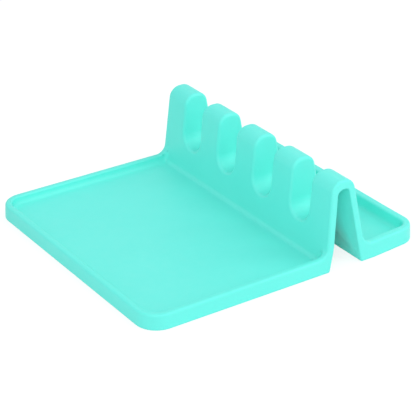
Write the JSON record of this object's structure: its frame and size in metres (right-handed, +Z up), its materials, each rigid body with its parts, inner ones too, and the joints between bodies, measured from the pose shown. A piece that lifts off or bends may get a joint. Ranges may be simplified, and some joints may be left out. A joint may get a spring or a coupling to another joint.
{
  "type": "spoon rest",
  "caption": "Moulded silicone utensil rest: a wide drip tray, a hollow slotted bridge that holds the handles apart, and a narrow tray behind it.",
  "frame": {"origin": "centre of the footprint's bounding box, on the underside", "axes": "+X along the bridge, +Y from the wide front tray to the narrow rear tray, +Z up"},
  "size_m": [0.19, 0.209, 0.06],
  "materials": {
    "silicone": "satin, slightly translucent silicone"
  },
  "bodies": {
    "root": {"front_tray": "silicone", "bridge": "silicone", "rear_tray": "silicone"}
  },
  "joints": []
}
